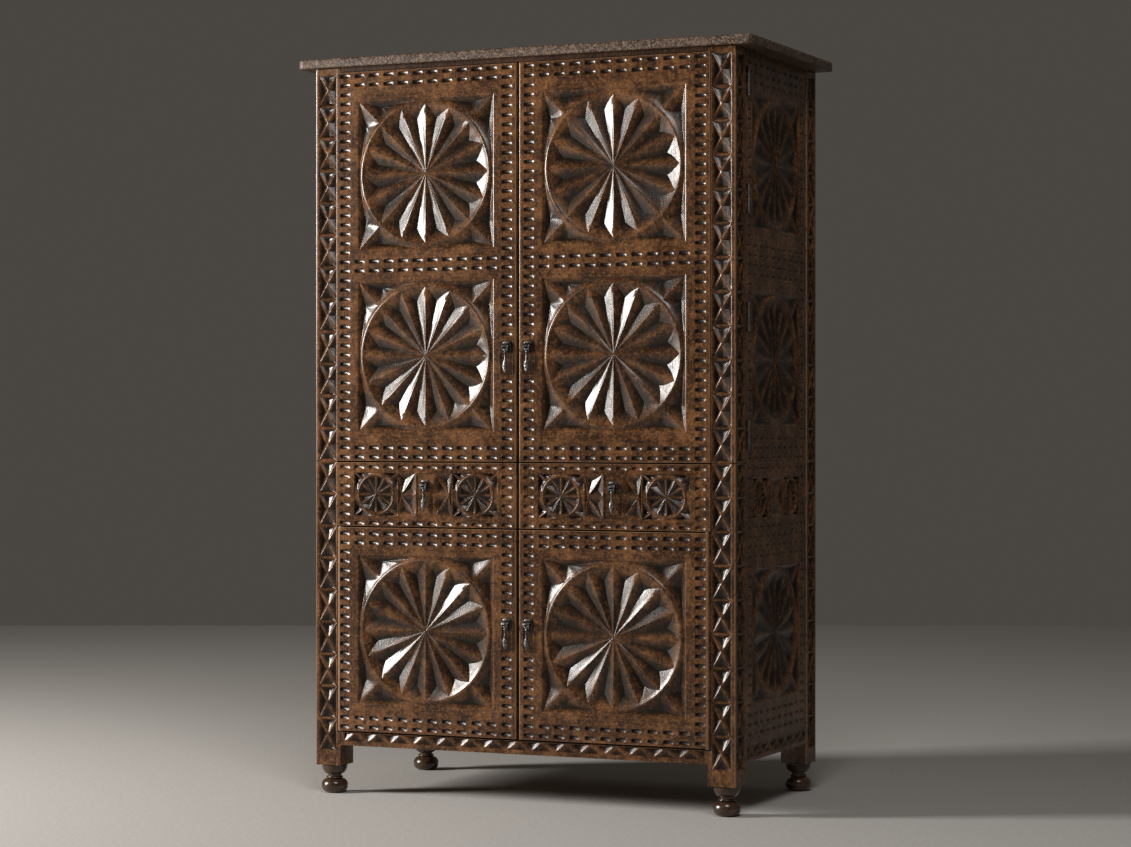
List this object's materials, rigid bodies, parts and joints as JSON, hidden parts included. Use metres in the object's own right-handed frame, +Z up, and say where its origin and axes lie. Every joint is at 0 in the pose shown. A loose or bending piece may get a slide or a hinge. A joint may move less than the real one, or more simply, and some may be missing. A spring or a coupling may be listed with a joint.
{
  "type": "bar cabinet",
  "caption": "Tall two-part wooden bar cabinet: upper doors over drawers over lower doors, with chip-carved rosette panels and posts, iron drop pulls and turned bun feet.",
  "frame": {"origin": "on the floor, under the middle of the cabinet's outer box", "axes": "+X to the right seen from the front, +Y to the back, +Z up; the doors face -Y"},
  "size_m": [1.32, 0.6585, 2],
  "materials": {
    "walnut": "antiqued wax polish, worn edges",
    "walnut_dark": "dark wax polish",
    "walnut_inside": "plain oiled wood",
    "slab_wood": "matt, worn and speckled",
    "iron": "black, waxed",
    "steel": "plain",
    "hinge_steel": "light grey, worn",
    "brass": "dull"
  },
  "bodies": {
    "cabinet": {"top_slab": "slab_wood", "top_rail": "walnut_dark", "upper_post_back_left": "walnut", "upper_post_back_right": "walnut", "lower_post_front_left": "walnut", "lower_post_front_right": "walnut", "lower_post_back_left": "walnut", "lower_post_back_right": "walnut", "upper_side_left": "walnut", "upper_side_right": "walnut", "lower_side_left": "walnut", "lower_side_right": "walnut", "back_boards": "walnut_inside", "case_floors": "walnut_inside", "case_decks": "walnut_inside", "drawer_divider": "walnut_inside", "front_apron": "walnut", "side_aprons": "walnut", "drawer_runners": "walnut_inside", "shelves": "walnut_inside", "shelf_battens": "walnut_inside", "feet": "walnut_dark", "case_dowels": "walnut_inside", "door_pivots": "steel", "hinge_case_leaves": "hinge_steel", "hinge_pins": "hinge_steel"},
    "upper_left_door": {"upper_left_door": "walnut", "upper_left_panels": "walnut", "upper_post_front_left": "walnut", "upper_left_stile": "walnut", "upper_left_hinge_leaves": "hinge_steel", "upper_left_pull_plate": "iron"},
    "upper_left_drop": {"upper_left_drop": "iron"},
    "upper_right_door": {"upper_right_door": "walnut", "upper_right_panels": "walnut", "upper_post_front_right": "walnut", "upper_right_stile": "walnut", "upper_right_hinge_leaves": "hinge_steel", "upper_right_pull_plate": "iron"},
    "upper_right_drop": {"upper_right_drop": "iron"},
    "lower_left_door": {"lower_left_door": "walnut", "lower_left_panel": "walnut", "lower_left_bushes": "brass", "lower_left_pull_plate": "iron"},
    "lower_left_drop": {"lower_left_drop": "iron"},
    "lower_right_door": {"lower_right_door": "walnut", "lower_right_panel": "walnut", "lower_right_bushes": "brass", "lower_right_pull_plate": "iron"},
    "lower_right_drop": {"lower_right_drop": "iron"},
    "left_drawer": {"left_drawer_front": "walnut", "left_drawer_box": "walnut_inside", "left_drawer_bottom": "walnut_inside", "left_drawer_pull_plate": "iron"},
    "left_drawer_drop": {"left_drawer_drop": "iron"},
    "right_drawer": {"right_drawer_front": "walnut", "right_drawer_box": "walnut_inside", "right_drawer_bottom": "walnut_inside", "right_drawer_pull_plate": "iron"},
    "right_drawer_drop": {"right_drawer_drop": "iron"}
  },
  "joints": [
    {"name": "upper_left_door_hinge", "type": "hinge", "parent": "cabinet", "child": "upper_left_door", "pos_m": [-0.6125, -0.21275, 1.4335], "axis": [0, 0, -1], "range_deg": [0, 175]},
    {"name": "upper_left_drop_swing", "type": "hinge", "parent": "upper_left_door", "child": "upper_left_drop", "pos_m": [-0.031, -0.32375, 1.203], "axis": [-1, 0, 0], "range_deg": [0, 75]},
    {"name": "upper_right_door_hinge", "type": "hinge", "parent": "cabinet", "child": "upper_right_door", "pos_m": [0.6125, -0.21275, 1.4335], "axis": [0, 0, 1], "range_deg": [0, 175]},
    {"name": "upper_right_drop_swing", "type": "hinge", "parent": "upper_right_door", "child": "upper_right_drop", "pos_m": [0.031, -0.32375, 1.203], "axis": [-1, 0, 0], "range_deg": [0, 75]},
    {"name": "lower_left_door_hinge", "type": "hinge", "parent": "cabinet", "child": "lower_left_door", "pos_m": [-0.533, -0.30175, 0.451], "axis": [0, 0, -1], "range_deg": [0, 95]},
    {"name": "lower_left_drop_swing", "type": "hinge", "parent": "lower_left_door", "child": "lower_left_drop", "pos_m": [-0.031, -0.32375, 0.471], "axis": [-1, 0, 0], "range_deg": [0, 75]},
    {"name": "lower_right_door_hinge", "type": "hinge", "parent": "cabinet", "child": "lower_right_door", "pos_m": [0.533, -0.30175, 0.451], "axis": [0, 0, 1], "range_deg": [0, 95]},
    {"name": "lower_right_drop_swing", "type": "hinge", "parent": "lower_right_door", "child": "lower_right_drop", "pos_m": [0.031, -0.32375, 0.471], "axis": [-1, 0, 0], "range_deg": [0, 75]},
    {"name": "left_drawer_slide", "type": "slide", "parent": "cabinet", "child": "left_drawer", "axis": [0, -1, 0], "range_m": [0, 0.35]},
    {"name": "left_drawer_drop_swing", "type": "hinge", "parent": "left_drawer", "child": "left_drawer_drop", "pos_m": [-0.27375, -0.32175, 0.835], "axis": [-1, 0, 0], "range_deg": [0, 75]},
    {"name": "right_drawer_slide", "type": "slide", "parent": "cabinet", "child": "right_drawer", "axis": [0, -1, 0], "range_m": [0, 0.35]},
    {"name": "right_drawer_drop_swing", "type": "hinge", "parent": "right_drawer", "child": "right_drawer_drop", "pos_m": [0.27375, -0.32175, 0.835], "axis": [-1, 0, 0], "range_deg": [0, 75]}
  ]
}
